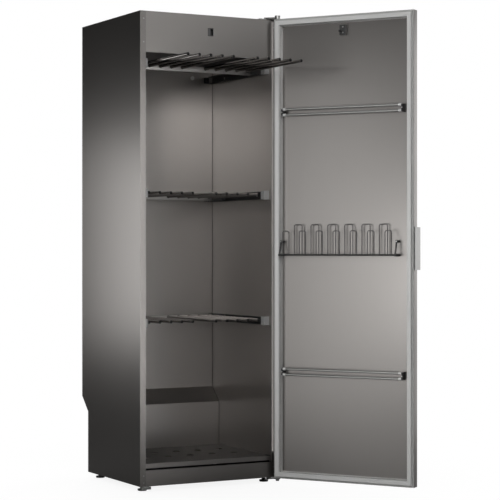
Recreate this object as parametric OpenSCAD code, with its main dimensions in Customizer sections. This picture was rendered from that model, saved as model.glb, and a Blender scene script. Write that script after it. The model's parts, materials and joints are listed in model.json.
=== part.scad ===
// Free-standing drying cabinet: a sheet steel carcass with a double wall, three pull-out hanging
// racks on side rails, a warm-air fan compartment behind the top fascia, and one full-height door.
// Millimetres, +Z up, front towards -Y. The origin is the centre of the carcass's underside.

/* [Carcass] */
// Outside width
body_w = 595; // [560:5:640]
// Outside depth above the rear step, without the door
body_d = 560; // [520:5:640]
// Height of the steel carcass, without feet and hinge
body_h = 1805; // [1700:5:1950]
// Thickness of the outer sheet
sheet = 1.2; // [0.8:0.1:1.5]
// Width of the front flange beside the opening
flange_w = 24; // [20:1:30]
// Outside to inner face of the side walls
wall_side = 22; // [20:1:30]
// Outside to inner face of the back wall
wall_back = 48; // [40:1:60]
// How far the lower back stands in behind the upper back
step_in = 61; // [40:1:80]
// Height at which the rear step starts
step_low = 244; // [200:1:300]
// Height of the slanted part of the rear step
step_rise = 59; // [40:1:90]

/* [Front] */
// Height of the fascia in front of the fan compartment
fascia_h = 155; // [150:1:190]
// Height of the plinth below the opening
plinth_h = 61; // [50:1:80]
// Height of the shoe floor above the underside
floor_z = 86; // [80:1:110]
// Height of the shoe floor's front lip
floor_lip = 18; // [12:1:22]
// Diameter of the drain and air holes in the floor
floor_hole_d = 28; // [16:1:32]
// Distance between the floor holes in a row
floor_hole_pitch = 97; // [80:1:105]

/* [Door] */
// Thickness of the door
door_t = 32; // [30:1:45]
// Gap between the door and the carcass, filled by the gasket
door_gap = 10; // [8:0.5:14]
// How far the door stands in from the carcass's sides
door_reveal = 1.5; // [1:0.5:3]
// How deep the inner panel is pressed in behind its border
recess_d = 20; // [12:1:20]
// Width of the border round the pressed panel
border_w = 27; // [26:1:36]
// Width of the gasket
gasket_w = 17.5; // [12:0.5:18]
// Angle to which the door stands open
door_open = 123.4; // [0:0.1:123.4]
// Distance of the hinge axis from the carcass's right side
hinge_in = 10; // [9:0.5:12]
// Distance of the hinge axis in front of the carcass
hinge_out = 22; // [20:0.5:26]
// Radius of the hinge pins
pin_r = 4; // [3:0.5:5]

/* [Racks] */
// Height of the lower rack's tubes
rack_low_z = 620; // [500:1:700]
// Height of the middle rack's tubes
rack_mid_z = 1118; // [900:1:1180]
// How far the upper rack's tubes hang below the ceiling
rack_top_down = 36; // [30:1:80]
// Diameter of the hanging tubes
tube_d = 12; // [10:1:14]
// Distance between tubes in a group
tube_pitch = 47.1; // [40:0.1:48]
// Distance from the rack's middle to the first tube
tube_first = 51; // [30:1:60]
// Tubes on each side of the middle
tubes_a_side = 5; // [3:1:5]
// Length of a rack from the tube tips to the back of its crossbar
rack_len = 437; // [380:1:445]
// Depth from the front at which a parked rack's tips stand
rack_parked = 46; // [30:1:60]
// How far a rack pulls out
rack_travel = 336; // [200:1:340]

/* [Door fittings] */
// Height of the lower towel rail
towel_low_z = 420; // [250:1:650]
// Distance of the upper towel rail below the top of the door
towel_top_down = 368; // [300:1:480]
// Diameter of the towel bars
towel_bar_d = 9; // [6:0.5:12]
// Distance between the two bars of a towel rail
towel_bar_gap = 22; // [16:1:30]
// Height of the glove rack's base
glove_z = 878; // [700:1:1000]
// Distance between glove hoops
hoop_pitch = 72.4; // [60:0.1:76]
// Diameter of the glove rack's wire
wire_d = 4; // [3:0.5:5]
// Length of the handle
handle_len = 162; // [120:1:240]

/* [Fan compartment] */
// Outside radius of the exhaust spigot on the roof
spigot_r = 62; // [50:0.5:75]
// Radius of the fan wheel
fan_r = 70; // [60:1:80]
// Blades on the fan wheel
fan_blades = 24; // [16:1:32]

/* [Feet] */
// Height of the carcass above the floor
foot_h = 21; // [18:1:40]
// Diameter of a foot's disc
foot_d = 36; // [30:1:45]

/* [Hidden] */
$fn = 48;

// clearances: pieces that lie together, pieces that run on each other, and a pin in its bush
seat = 0.3;
run = 0.4;
pin_clear = 0.05;

liner = 0.8;
// the open seam between the back liner and a side liner
corner_gap = 1.5;
inner_l = wall_side;
inner_r = body_w - wall_side;
low_d = body_d - step_in;
step_high = step_low + step_rise;
// a sheet folded along the step keeps its thickness when both bends climb by this share of it
bend_climb = (norm([step_in, step_rise]) - step_rise) / step_in;
roof_z = body_h - sheet;
ceiling_z = body_h - fascia_h;
inner_back = body_d - wall_back;
mid_u = body_w / 2;
hem = 12;
base_t = 1.5;

door_l = door_reveal;
door_r = body_w - door_reveal;
door_in = -door_gap;
door_out = door_in - door_t;
panel_v = door_in - recess_d;
hinge_u = body_w - hinge_in;
hinge_v = -hinge_out;
skin = 1;
strike_z = ceiling_z + 90;
strike = [24, 31];
latch_u = mid_u + 2.5;
tongue_in = 8;
bush_r = 7;
bush_len = 20;
knuckle_r = 11;
bracket_t = 4;
gasket_in = 8;

screw_r = 3.2;
flange_screw_u = 15;
flange_screw_z = [14, 41, body_h - 118, body_h - 29];

rail_d = 20;
rail_t = 1.5;
rail_below = 18.5;
rail_above = 11.5;
rail_front = 28;
cap_t = 2;
cap_d = 27;
bar_t = 8;
bar_below = 16;
bar_above = 8;
shoe_len = 100;
buffer_d = 6;
rail_screw_v = [120, 400];
rail_screw_h = 1.5;
rack_pull = [0, 0, rack_travel];
rack_z = [rack_low_z, rack_mid_z, ceiling_z - rack_top_down];
towel_z = [towel_low_z, body_h - towel_top_down];

spigot_u = 430;
spigot_v = 400;
spigot_up = 40;
fan_u = 190;
fan_v = 300;
fan_floor = ceiling_z + 2;
shaft_r = 4;
gland_u = body_w - 75;
gland_z = body_h - 80;

// a solid box between two corners
module slab(low, high) translate(low) cube(high - low);
// what follows is measured from the carcass's front lower left corner
module from_corner() translate([-body_w / 2, -body_d / 2, 0]) children();
// door pieces are drawn on the shut door and swung open about the hinge
module on_door() from_corner() translate([hinge_u, hinge_v, 0]) rotate([0, 0, door_open])
    translate([-hinge_u, -hinge_v, 0]) children();
module rod_x(r, len) rotate([0, 90, 0]) cylinder(r = r, h = len);
module rod_y(r, len) rotate([-90, 0, 0]) cylinder(r = r, h = len);
// a countersunk screw in a front sheet, or with some play the hole for it
module countersunk(play) {
    rotate([-90, 0, 0]) cylinder(r1 = screw_r + play, r2 = screw_r - 1 + play, h = sheet);
    if (play > 0) translate([0, -1, 0]) rod_y(screw_r - 1 + play, sheet + 2);
    if (play == 0) translate([0, sheet, 0]) rod_y(screw_r - 1, 7);
}
// what holds the rails to the side walls, at each screw's place on the wall's inner face
module at_rail_screws() both_sides() for (z = rack_z) for (v = rail_screw_v)
    translate([inner_l, v, z - (rail_below - rail_above) / 2]) children();

// the two corners of the rear step on a sheet face that lies t inside the outer face
function step_points(t) = [
    [low_d - t, step_low + bend_climb * t],
    [body_d - t, step_high + bend_climb * t]
];
// side outline from the front plane to a back face t inside, between two heights
module side_outline(front, t, bottom, top) polygon(concat(
    [[front, bottom], [step_points(t)[0][0], bottom]], step_points(t),
    [[step_points(t)[1][0], top], [front, top]]));
// a wall of that outline, standing across the cabinet's width
module upright(u, thick, front, t, bottom, top) translate([u, 0, 0])
    rotate([90, 0, 90]) linear_extrude(thick) side_outline(front, t, bottom, top);
// a back sheet folded along the step
module folded_back(u, wide, t, thick, bottom, top) difference() {
    upright(u, wide, 300, t, bottom, top);
    upright(u - 1, wide + 2, 299, t + thick, bottom - 1, top + 1);
}

// ---------- carcass ----------
module side_panel() difference() {
    union() {
        upright(0, sheet, 0, 0, 0, roof_z);
        slab([0, 0, 0], [flange_w, sheet, roof_z]);
        slab([flange_w - sheet, 0, plinth_h], [flange_w, hem, ceiling_z]);
    }
    for (z = flange_screw_z) translate([flange_screw_u, 0, z]) countersunk(seat);
}
module left_side_panel() color("#4a4a4a") from_corner() side_panel();
module right_side_panel() color("#4a4a4a") from_corner() translate([body_w, 0, 0])
    mirror([1, 0, 0]) side_panel();
module roof_panel() color("#4a4a4a") from_corner() difference() {
    union() {
        slab([0, 0, roof_z], [body_w, body_d, body_h]);
        slab([flange_w + seat, sheet, roof_z - hem], [body_w - flange_w - seat, 2 * sheet, roof_z]);
    }
    translate([spigot_u, spigot_v, roof_z - 1]) cylinder(r = spigot_r, h = 5);
    for (p = hinge_holes) translate([p[0], p[1], roof_z - 1])
        cylinder(r = screw_r - 0.5 + seat, h = 5);
}
module back_panel() color("#555555") from_corner() difference() {
    folded_back(sheet, body_w - 2 * sheet, 0, sheet, 0, roof_z);
    translate([gland_u, body_d - 5, gland_z]) rod_y(8, 10);
}
module base_panel() color("#3c3c3c") from_corner() difference() {
    union() {
        slab([sheet, hem, 0], [body_w - sheet, low_d - sheet, base_t]);
        slab([inner_l + 2, hem, 0], [inner_r - 2, hem + base_t, hem]);
    }
    for (p = foot_places) translate([p[0], p[1], -1]) cylinder(r = stud_r + seat, h = base_t + 2);
}
module side_liner() difference() {
    upright(wall_side - liner, liner, hem + seat, wall_back, base_t, ceiling_z);
    at_rail_screws() translate([-2, 0, 0]) rod_x(2 + seat, 4);
}
module left_liner() color("#5a5856") from_corner() side_liner();
module right_liner() color("#5a5856") from_corner() translate([body_w, 0, 0])
    mirror([1, 0, 0]) side_liner();
module back_liner() color("#5a5856") from_corner() folded_back(inner_l + corner_gap,
    inner_r - inner_l - 2 * corner_gap, wall_back - liner, liner, floor_z - 60, ceiling_z);
module wall_insulation() color("#b9b29c") from_corner() {
    difference() {
        for (u = [sheet + 1, body_w - wall_side + liner + 1])
            upright(u, wall_side - liner - sheet - 2, hem + 4, wall_back, floor_z + 24,
                    ceiling_z - 10);
        at_rail_screws() translate([-8, 0, 0]) rod_x(3, 10);
    }
    folded_back(40, body_w - 80, sheet + 1, wall_back - sheet - liner - 18, floor_z + 24,
                ceiling_z - 10);
}
slot_rows = 6;
slot_count = 9;
slot_pitch = 18;
outlet = [110, 80];
heater_u = 340;
heater_v = 190;
module ceiling_grille() color("#3c3b3a") from_corner() difference() {
    slab([inner_l, sheet + seat, ceiling_z], [inner_r, inner_back, ceiling_z + 1.2]);
    // intake slots under the exhaust duct
    for (i = [0 : slot_count - 1]) for (side = [-1, 1])
        slab([spigot_u + (i - (slot_count - 1) / 2) * slot_pitch / 2 - 2, spigot_v + side * 24 - 16,
              ceiling_z - 1],
             [spigot_u + (i - (slot_count - 1) / 2) * slot_pitch / 2 + 2, spigot_v + side * 24 + 16,
              ceiling_z + 3]);
    // warm air outlet below the heater
    for (i = [0 : slot_rows - 1])
        slab([heater_u + 10, heater_v + 8 + i * 12, ceiling_z - 1],
             [heater_u + outlet[0] - 10, heater_v + 13 + i * 12, ceiling_z + 3]);
}
module shoe_floor() color("#33312f") from_corner() difference() {
    union() {
        slab([inner_l + seat, hem + seat, floor_z - sheet],
             [inner_r - seat, low_d - wall_back - seat, floor_z]);
        slab([flange_w + seat, 3, floor_z - sheet], [body_w - flange_w - seat, hem + seat, floor_z]);
        slab([flange_w + seat, 3, floor_z - floor_lip],
             [body_w - flange_w - seat, 3 + sheet, floor_z]);
        for (u = [inner_l + seat, inner_r - seat - sheet])
            slab([u, hem + 10, base_t], [u + sheet, low_d - wall_back - seat, floor_z]);
    }
    for (row = [170, 297]) for (i = [-2 : 2])
        translate([mid_u + i * floor_hole_pitch, row, floor_z - 3])
            cylinder(r = floor_hole_d / 2, h = 5);
}
module front_cover(bottom, top, fold) {
    slab([flange_w, 0, bottom], [body_w - flange_w, sheet, top]);
    slab([flange_w, 0, fold], [body_w - flange_w, hem, fold + sheet]);
}
module fascia() color("#767573") from_corner() difference() {
    front_cover(ceiling_z - sheet, roof_z, ceiling_z - sheet);
    slab([latch_u - strike[0] / 2 + 1, -1, strike_z - strike[1] / 2 + 1],
         [latch_u + strike[0] / 2 - 1, sheet + 1, strike_z + strike[1] / 2 - 1]);
}
module plinth() color("#6a6967") from_corner() front_cover(0, plinth_h, plinth_h - sheet);
module latch_strike() color("#222222") from_corner() difference() {
    union() {
        slab([latch_u - strike[0] / 2, -1, strike_z - strike[1] / 2],
             [latch_u + strike[0] / 2, 0, strike_z + strike[1] / 2]);
        slab([latch_u - strike[0] / 2 + 1 + seat, 0, strike_z - strike[1] / 2 + 1 + seat],
             [latch_u + strike[0] / 2 - 1 - seat, tongue_in + 5, strike_z + strike[1] / 2 - 1 - seat]);
    }
    slab([latch_u - 0.5, -2, strike_z - 12], [latch_u + 10.5, tongue_in + 3.5, strike_z + 12]);
}
sensor_u = body_w - 117;
sensor_z = ceiling_z - 33;
module sensor_cap() color("#e8e8e6") from_corner() {
    translate([sensor_u, inner_back - 4, sensor_z]) rod_y(8.5, 4);
    for (side = [-1, 1]) translate([sensor_u + side * 27, inner_back - 1.5, sensor_z]) rod_y(2, 1.5);
}

// ---------- rack rails ----------
rail_back = inner_back - seat;
module rail(z) difference() {
    slab([inner_l, rail_front, z - rail_below], [inner_l + rail_d, rail_back, z + rail_above]);
    slab([inner_l + rail_t, rail_front - 1, z - rail_below + rail_t],
         [inner_l + rail_d + 1, rail_back + 1, z + rail_above - rail_t]);
    for (v = rail_screw_v)
        translate([inner_l - 1, v, z - (rail_below - rail_above) / 2]) rod_x(2 + seat, rail_t + 2);
}
module rail_cap(z) difference() {
    slab([inner_l, rail_front - 3, z - rail_below - cap_t],
         [inner_l + rail_d + cap_t, rail_front - 3 + cap_d, z + rail_above + cap_t]);
    slab([inner_l - 1, rail_front - seat, z - rail_below - seat],
         [inner_l + rail_d + seat, rail_front + cap_d, z + rail_above + seat]);
}
module rail_buffer(z) slab([inner_l + rail_d + seat, inner_back - buffer_d, z - bar_below - 1],
    [inner_l + 2 * rail_d, inner_back, z + bar_above - 2]);
module both_sides() {
    children();
    translate([body_w, 0, 0]) mirror([1, 0, 0]) children();
}
module rack_rails() color("#262626") from_corner() both_sides() for (z = rack_z) rail(z);
module rail_caps() color("#b4b4b2") from_corner() both_sides() for (z = rack_z) rail_cap(z);
module rail_buffers() color("#1c1c1c") from_corner() both_sides() for (z = rack_z) rail_buffer(z);

// ---------- feet, hinges, screws ----------
stud_r = 4.9;
foot_front = [inner_l + 10, 50];
foot_rear = [inner_l + 16, low_d - 37];
foot_places = [foot_front, [body_w - foot_front[0], foot_front[1]],
               foot_rear, [body_w - foot_rear[0], foot_rear[1]]];
module feet() color("#2a2a2a") from_corner() for (p = foot_places) translate([p[0], p[1], -foot_h]) {
    cylinder(r = foot_d / 2, h = 7);
    translate([0, 0, 7]) cylinder(r = 8, h = 4);
    translate([0, 0, 7]) cylinder(r = stud_r, h = foot_h + 20);
}
module foot_bosses() color("#9a9a98") from_corner() for (p = foot_places)
    translate([p[0], p[1], base_t]) difference() {
        cylinder(r = stud_r + 3.5, h = 14);
        translate([0, 0, -1]) cylinder(r = stud_r + pin_clear, h = 16);
    }
hinge_holes = [[hinge_u - 52, 20], [hinge_u - 30, 40], [hinge_u - 14, 20]];
module top_hinge_bracket() color("#8c8c8a") from_corner() difference() {
    union() {
        // plate screwed to the roof, tapering towards the knuckle
        translate([0, 0, body_h]) linear_extrude(bracket_t) polygon([
            [hinge_u - 64, 6], [hinge_u + 4, 6], [hinge_u + 4, 34], [hinge_u - 20, 52],
            [hinge_u - 38, 52], [hinge_u - 64, 30]]);
        translate([0, 0, body_h + bracket_t]) linear_extrude(5) polygon([
            [hinge_u - 44, 8], [hinge_u + 2, 30], [hinge_u + 6, hinge_v],
            [hinge_u - 9, hinge_v - 3]]);
        translate([hinge_u, hinge_v, body_h + 1.4]) cylinder(r = knuckle_r, h = 13.6);
    }
    for (p = hinge_holes) translate([p[0], p[1], body_h]) {
        translate([0, 0, -1]) cylinder(r = screw_r - 0.5 + seat, h = 20);
        translate([0, 0, bracket_t]) cylinder(r = 5 + seat, h = 20);
    }
    translate([hinge_u, hinge_v, body_h]) cylinder(r = pin_r, h = 20);
}
lower_arm = 4;
lower_gap = 1.3;
module lower_hinge_brackets() color("#8c8c8a") from_corner() {
    // hinge side: a leg behind the plinth and an arm that carries the door's pin
    difference() {
        union() {
            slab([hinge_u - 36, -12, -lower_gap - lower_arm], [hinge_u + 8, sheet + 4.3, -lower_gap]);
            translate([hinge_u, hinge_v, -lower_gap - lower_arm]) cylinder(r = knuckle_r, h = lower_arm);
            slab([hinge_u - knuckle_r, hinge_v, -lower_gap - lower_arm],
                 [hinge_u + 8, 0, -lower_gap]);
            slab([hinge_u - 36, sheet + seat, -lower_gap - lower_arm],
                 [hinge_u - flange_w + hinge_in - 2, sheet + 4.3, 44]);
        }
        translate([hinge_u, hinge_v, -20]) cylinder(r = pin_r, h = 30);
    }
    // handle side: the same bracket's blank, for hanging the door the other way round
    difference() {
        union() {
            slab([4, -8, -lower_gap - lower_arm - 5], [38, sheet + 4.3, -lower_gap]);
            translate([38, -1.5, -lower_gap - lower_arm - 5]) cylinder(r = 6.5, h = lower_arm + 5);
            slab([flange_w + 2, sheet + seat, -lower_gap - lower_arm], [38, sheet + 4.3, 44]);
        }
        translate([12, -2, -20]) cylinder(r = pin_r, h = 30);
    }
}
module hinge_pins() color("#c8c8c6") from_corner() {
    translate([hinge_u, hinge_v, body_h - 16]) cylinder(r = pin_r, h = 31);
    translate([hinge_u, hinge_v, -lower_gap - lower_arm]) cylinder(r = pin_r, h = 22);
    translate([hinge_u, hinge_v, -lower_gap - lower_arm - 7]) cylinder(r = 7, h = 7);
}
module carcass_screws() color("#6f6f6d") from_corner() {
    both_sides() for (z = flange_screw_z) translate([flange_screw_u, 0, z]) countersunk(0);
    for (p = hinge_holes) {
        translate([p[0], p[1], body_h + bracket_t]) cylinder(r = 5, h = 2.6);
        translate([p[0], p[1], body_h - 8]) cylinder(r = screw_r - 0.5, h = 8 + bracket_t);
    }
    at_rail_screws() {
        translate([rail_t, 0, 0]) rod_x(4, rail_screw_h);
        translate([-6, 0, 0]) rod_x(2, 6 + rail_t);
    }
}

// ---------- roof and fan compartment ----------
module exhaust_spigot() color("#9a9a98") from_corner() translate([spigot_u, spigot_v, 0]) difference() {
    union() {
        translate([0, 0, body_h]) cylinder(r = spigot_r + 14, h = 1.5);
        translate([0, 0, body_h]) cylinder(r = spigot_r, h = spigot_up);
    }
    translate([0, 0, body_h - 1]) cylinder(r = spigot_r - 1.5, h = spigot_up + 2);
}
module exhaust_duct() color("#8a8a88") from_corner() translate([spigot_u, spigot_v, 0]) difference() {
    translate([0, 0, ceiling_z + 1.2]) cylinder(r = spigot_r - 2, h = roof_z - ceiling_z - 1.2);
    translate([0, 0, ceiling_z]) cylinder(r = spigot_r - 3.5, h = 2 * fascia_h);
}
anchor_pitch = 300;
module wall_bracket() color("#9a9a98") from_corner() difference() {
    union() {
        slab([mid_u - anchor_pitch / 2 - 20, body_d - 30, body_h],
             [mid_u + anchor_pitch / 2 + 20, body_d, body_h + 2]);
        slab([mid_u - anchor_pitch / 2 - 20, body_d - 2, body_h],
             [mid_u + anchor_pitch / 2 + 20, body_d, body_h + 25]);
    }
    for (side = [-1, 1]) translate([mid_u + side * anchor_pitch / 2, body_d - 5, body_h + 14])
        rod_y(3, 10);
}
gland_bore = 4.5;
module cable_gland() color("#1e1e1e") from_corner() translate([gland_u, 0, gland_z]) difference() {
    union() {
        translate([0, body_d - 14, 0]) rod_y(7.9, 26);
        translate([0, body_d, 0]) rod_y(12, 5);
        translate([0, body_d - sheet - 5, 0]) rod_y(12, 5);
    }
    translate([0, body_d - 20, 0]) rod_y(gland_bore, 40);
}
housing_r = fan_r + 22;
housing_h = 78;
module fan_housing() color("#55585a") from_corner() translate([fan_u, fan_v, 0]) difference() {
    union() {
        translate([0, 0, ceiling_z + 1.2]) cylinder(r = housing_r, h = housing_h);
        slab([0, -housing_r, ceiling_z + 1.2],
             [heater_u - fan_u - seat, -housing_r + 60, ceiling_z + 1.2 + housing_h]);
    }
    translate([0, 0, ceiling_z + 2.7]) cylinder(r = housing_r - 1.5, h = housing_h - 3);
    slab([0, -housing_r + 1.5, ceiling_z + 2.7],
         [heater_u, -housing_r + 58.5, ceiling_z - 0.3 + housing_h]);
    translate([0, 0, ceiling_z + housing_h - 5]) cylinder(r = fan_r - 12, h = 20);
}
motor_z = ceiling_z + 2.7;
module fan_motor() color("#8d9092") from_corner() translate([fan_u, fan_v, motor_z]) difference() {
    union() {
        cylinder(r = 32, h = 4);
        translate([0, 0, 4]) cylinder(r = 24, h = 26);
        translate([0, 0, 30]) cylinder(r = 9, h = 6);
    }
    translate([0, 0, 4]) cylinder(r = shaft_r + pin_clear, h = 60);
}
wheel_z = motor_z + 38;
module fan_wheel() color("#3a3d40") from_corner() translate([fan_u, fan_v, 0]) {
    translate([0, 0, motor_z + 5]) cylinder(r = shaft_r, h = wheel_z - motor_z + 5);
    translate([0, 0, wheel_z]) cylinder(r = fan_r, h = 2);
    translate([0, 0, wheel_z + 2]) cylinder(r = 12, h = 12);
    for (i = [0 : fan_blades - 1]) rotate([0, 0, i * 360 / fan_blades])
        translate([fan_r - 14, 0, wheel_z + 1]) rotate([0, 0, 25]) slab([0, -0.6, 0], [12, 0.6, 30]);
}
duct_h = 78;
module heater_duct() color("#77797a") from_corner() difference() {
    slab([heater_u, heater_v, ceiling_z + 1.2],
         [heater_u + outlet[0], heater_v + outlet[1] + 8, ceiling_z + 1.2 + duct_h]);
    slab([heater_u + 1.2, heater_v + 1.2, ceiling_z],
         [heater_u + outlet[0] - 1.2, heater_v + outlet[1] + 6.8, ceiling_z + duct_h]);
    slab([heater_u - 2, heater_v + 19, ceiling_z + 4],
         [heater_u + 5, heater_v + 74, ceiling_z + duct_h - 4]);
}
heater_legs = 5;
module heater_element() color("#b3602c") from_corner()
    translate([heater_u + 3, heater_v + 24, ceiling_z + 22]) for (i = [0 : heater_legs - 1]) {
        translate([0, i * 11, 0]) rod_x(3, outlet[0] - 4.2);
        translate([0, i * 11, 26]) rod_x(3, outlet[0] - 4.2);
    }
module thermostat() color("#d8d4c8") from_corner()
    translate([heater_u + outlet[0], heater_v + 40, ceiling_z + 40]) {
        rod_x(9, 8);
        for (side = [-1, 1]) slab([8, side * 5 - 1, -3], [17, side * 5 + 1, 3]);
    }
box_from = [inner_r - 100, 30, ceiling_z + 1.2];
box_size = [86, 130, 46];
module control_box() color("#d9d9d4") from_corner() translate(box_from) difference() {
    cube(box_size);
    translate([2, 2, 2]) cube(box_size - [4, 4, 0]);
}
module circuit_board() color("#2f6b3c") from_corner() translate(box_from) {
    translate([5, 6, 10]) cube([76, 118, 1.6]);
    for (x = [9, 73]) for (y = [10, 116]) translate([x + 1, y, 2]) cylinder(r = 3, h = 8);
    translate([14, 20, 11.6]) cube([26, 30, 20]);
    translate([50, 70, 11.6]) cube([16, 28, 14]);
    translate([18, 80, 11.6]) cylinder(r = 9, h = 24);
}
module terminal_block() color("#e4e0d2") from_corner()
    translate([gland_u - 26, inner_back - 40, ceiling_z + 1.2]) difference() {
        cube([52, 26, 22]);
        for (i = [0 : 4]) translate([6 + i * 10, 13, 8]) cylinder(r = 3, h = 20);
    }

// ---------- door ----------
panel_hole = [120, 34];
control_z = 1560 - 1805 + body_h;
module door_outer_panel() color("#6b6b69") on_door() difference() {
    slab([door_l, door_out, 0], [door_r, door_in - skin, body_h]);
    slab([door_l + skin, door_out + skin, skin], [door_r - skin, door_in, body_h - skin]);
    translate([hinge_u, hinge_v, -1]) cylinder(r = bush_r + 0.1, h = body_h + 2);
    slab([mid_u - panel_hole[0], door_out - 1, control_z - panel_hole[1]],
         [mid_u + panel_hole[0], door_out + 2, control_z + panel_hole[1]]);
}
module door_inner_panel() color("#7d7b79") on_door() difference() {
    union() {
        slab([door_l, door_in - skin, 0], [door_r, door_in, body_h]);
        slab([door_l + border_w - skin, panel_v - skin, border_w - skin],
             [door_r - border_w + skin, door_in, body_h - border_w + skin]);
    }
    slab([door_l + border_w, panel_v, border_w], [door_r - border_w, door_in + 1, body_h - border_w]);
}
module door_insulation() color("#c9c2aa") on_door() difference() {
    slab([door_l + 14, door_out + skin + seat, 24], [door_r - 24, panel_v - skin - seat, body_h - 24]);
    slab([mid_u - panel_hole[0] - 6, door_out, control_z - panel_hole[1] - 6],
         [mid_u + panel_hole[0] + 6, door_in, control_z + panel_hole[1] + 6]);
}
module door_gasket() color("#b9b9b7") on_door() for (step = [0, 1]) difference() {
    slab([door_l + gasket_in + step, door_in + 5 * step, gasket_in + step],
         [door_r - gasket_in - step, [door_in + 5, -seat][step], body_h - gasket_in - step]);
    slab([door_l + gasket_in + gasket_w - step, door_in - 1, gasket_in + gasket_w - step],
         [door_r - gasket_in - gasket_w + step, 1, body_h - gasket_in - gasket_w + step]);
}
module hinge_bushes() color("#e2e0da") on_door() for (top = [0, 1])
    translate([hinge_u, hinge_v, top * body_h]) mirror([0, 0, top]) difference() {
        union() {
            translate([0, 0, skin]) cylinder(r = bush_r, h = bush_len);
            translate([0, 0, -1]) cylinder(r = bush_r, h = 2);
            translate([0, 0, -1]) cylinder(r = bush_r + 1.4, h = 1);
        }
        translate([0, 0, -2]) cylinder(r = pin_r + pin_clear, h = bush_len + 5);
    }
latch_w = 26;
latch_h = 39;
latch_d = 16;
latch_z = strike_z + 6;
module latch_block() color("#202020") on_door() {
    slab([latch_u - latch_w / 2, panel_v, latch_z - latch_h / 2],
         [latch_u + latch_w / 2, panel_v + latch_d, latch_z + latch_h / 2]);
    slab([latch_u + 2.5, panel_v + latch_d, strike_z - 6], [latch_u + 8, tongue_in, strike_z + 6]);
}
towel_l = 50;
towel_r = 552;
towel_out = 24;
module towel_bars() color("#c9c9c9") on_door() for (z = towel_z) for (side = [-0.5, 0.5])
    translate([towel_l, panel_v + towel_out, z + side * towel_bar_gap])
        rod_x(towel_bar_d / 2, towel_r - towel_l);
module towel_brackets() color("#202020") on_door() for (z = towel_z) for (u = [towel_l - 6, towel_r])
    slab([u, panel_v, z - towel_bar_gap / 2 - 5],
         [u + 6, panel_v + towel_out + towel_bar_d / 2 + 1, z + towel_bar_gap / 2 + 5]);
glove_mid = 316;
glove_half = 3 * hoop_pitch + 28;
tall_out = 13;
short_out = 38;
tall_top = 120;
short_top = 95;
bar_r = 3;
stand_r = 5;
stand_len = 26;
brace_up = 52;
brace_in = 16;
tall_w = 38;
tall_shift = 5.4;
short_w = 31;
module glove_frame() color("#3a3a3a") on_door() {
    for (out = [tall_out, short_out]) translate([glove_mid - glove_half, panel_v + out, glove_z])
        rod_x(bar_r, 2 * glove_half);
    // side brackets: a bar out along the base, a shorter post above it and a slanting bar between
    for (side = [-1, 1]) translate([glove_mid + side * glove_half, panel_v, glove_z]) {
        rod_y(stand_r, short_out + bar_r);
        translate([0, 0, brace_up]) rod_y(stand_r, stand_len);
        translate([0, short_out, 0]) rotate([atan2(brace_in, brace_up), 0, 0])
            cylinder(r = bar_r, h = norm([brace_in, brace_up]));
    }
}
// an upside-down U of bent wire
module hoop(wide, high) {
    bend = 7;
    for (side = [-1, 1]) translate([side * (wide / 2 - wire_d / 2), 0, 0]) {
        cylinder(r = wire_d / 2, h = high - bend - wire_d / 2);
        translate([-side * bend, 0, high - bend - wire_d / 2]) rotate([90, 0, 0])
            rotate([0, 0, side > 0 ? 0 : 90]) rotate_extrude(angle = 90) translate([bend, 0])
                circle(r = wire_d / 2, $fn = 24);
    }
    translate([-wide / 2 + wire_d / 2 + bend, 0, high - wire_d / 2])
        rod_x(wire_d / 2, wide - wire_d - 2 * bend);
}
module glove_hoops() color("#3a3a3a") on_door() {
    for (i = [-2.5 : 1 : 2.5])
        translate([glove_mid - tall_shift + i * hoop_pitch, panel_v + tall_out, glove_z + bar_r])
            hoop(tall_w, tall_top - bar_r);
    for (i = [-3 : 3])
        translate([glove_mid + i * hoop_pitch, panel_v + short_out, glove_z + bar_r])
            hoop(short_w, short_top - bar_r);
}
grip_t = 3;
grip_gap = 26;
handle_z = 903 - handle_len / 2;
module door_handle() color("#b2b2b0") on_door() {
    // a hooked pull: a leaf on the door's free edge, carried round in front of its outer face
    slab([door_l - grip_t, door_out - grip_gap, handle_z], [door_l, door_in - 4, handle_z + handle_len]);
    slab([door_l, door_out - grip_gap, handle_z],
         [door_l + 34, door_out - grip_gap + grip_t, handle_z + handle_len]);
    for (z = [handle_z, handle_z + handle_len - 8])
        slab([door_l, door_out - grip_gap + grip_t, z], [door_l + 22, door_out, z + 8]);
}
module fitting_screws() color("#8f8f8d") on_door() {
    for (z = [-10, 12]) translate([latch_u - 2, panel_v + latch_d, latch_z + z]) rod_y(3, 1.2);
    for (z = towel_z) for (u = [towel_l - 3, towel_r + 3])
        translate([u, panel_v + towel_out + towel_bar_d / 2 + 1, z]) rod_y(2.6, 1);
    for (side = [-1, 1])
        translate([glove_mid + side * glove_half, panel_v + stand_len, glove_z + brace_up]) rod_y(3, 1.4);
}
module control_panel() color("#151515") on_door() difference() {
    union() {
        slab([mid_u - panel_hole[0] + seat, door_out, control_z - panel_hole[1] + seat],
             [mid_u + panel_hole[0] - seat, panel_v - skin, control_z + panel_hole[1] - seat]);
    }
    translate([knob_u, door_out - 1, control_z]) rod_y(3 + pin_clear, 9);
    for (u = [start_u, light_u]) translate([u, door_out - 1, control_z]) rod_y(button_r + seat, 9);
}
knob_u = mid_u - 80;
start_u = mid_u + 60;
light_u = mid_u + 90;
button_r = 8;
press = 2.5;
module program_knob() color("#bdbdbb") on_door() translate([knob_u, 0, control_z]) difference() {
    union() {
        translate([0, door_out - 15, 0]) rod_y(19, 14.5);
        translate([0, door_out - 1, 0]) rod_y(3, 8);
    }
    slab([-1, door_out - 16, 8], [1, door_out - 14, 18]);
}
module push_button(u) on_door() translate([u, door_out - 4, control_z]) rod_y(button_r, 9);
module start_button() color("#bdbdbb") push_button(start_u);
module light_button() color("#bdbdbb") push_button(light_u);

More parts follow.
